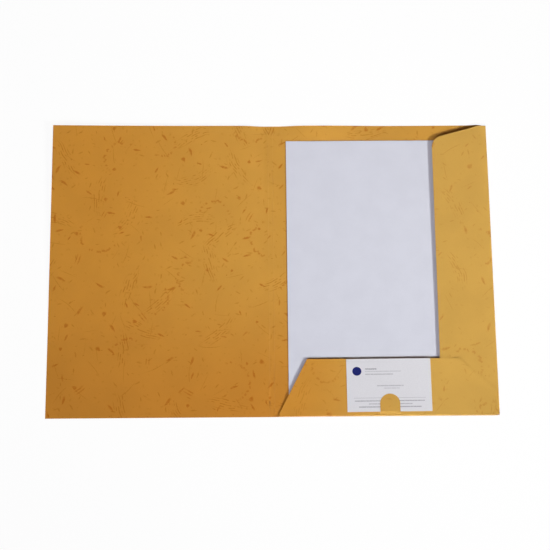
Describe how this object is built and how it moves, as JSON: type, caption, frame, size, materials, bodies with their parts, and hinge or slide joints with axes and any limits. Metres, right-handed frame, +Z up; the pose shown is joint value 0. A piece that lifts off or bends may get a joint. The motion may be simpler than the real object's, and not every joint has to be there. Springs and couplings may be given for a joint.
{
  "type": "presentation folder",
  "caption": "Open presentation folder of patterned board with a glued corner pocket, a card tongue, loose sheets and a business card.",
  "frame": {"origin": "on the surface the folder lies on, midway across the spine and midway up it", "axes": "+X across the open folder towards the back cover and its pocket, +Y up the pages, +Z up out of the inner faces"},
  "size_m": [0.455, 0.315, 0.005],
  "materials": {
    "board": "matte",
    "glue": "satin",
    "sheets": "matte",
    "card": "satin"
  },
  "bodies": {
    "pocket_half": {"back_cover": "board", "side_gusset": "board", "side_flap": "board", "bottom_gusset": "board", "bottom_flap": "board", "card_tongue": "board", "pocket_glue": "glue"},
    "spine_strip": {"spine": "board"},
    "front_half": {"front_cover": "board"},
    "loose_sheets": {"document": "sheets"},
    "loose_card": {"business_card": "card"}
  },
  "joints": [
    {"name": "spine_hinge", "type": "hinge", "parent": "pocket_half", "child": "spine_strip", "pos_m": [0.0025, 0, 0.00035], "axis": [0, 1, 0], "range_deg": [0, 90]},
    {"name": "cover_hinge", "type": "hinge", "parent": "spine_strip", "child": "front_half", "pos_m": [-0.0025, 0, 0.00035], "axis": [0, 1, 0], "range_deg": [0, 90]},
    {"name": "document_slide", "type": "slide", "parent": "pocket_half", "child": "loose_sheets", "axis": [0, 1, 0], "range_m": [0, 0.315]},
    {"name": "card_slide", "type": "slide", "parent": "pocket_half", "child": "loose_card", "axis": [0, 1, 0], "range_m": [0, 0.06]}
  ],
  "couplings": [
    {"joint": "cover_hinge", "follows": "spine_hinge", "ratio": 1}
  ]
}
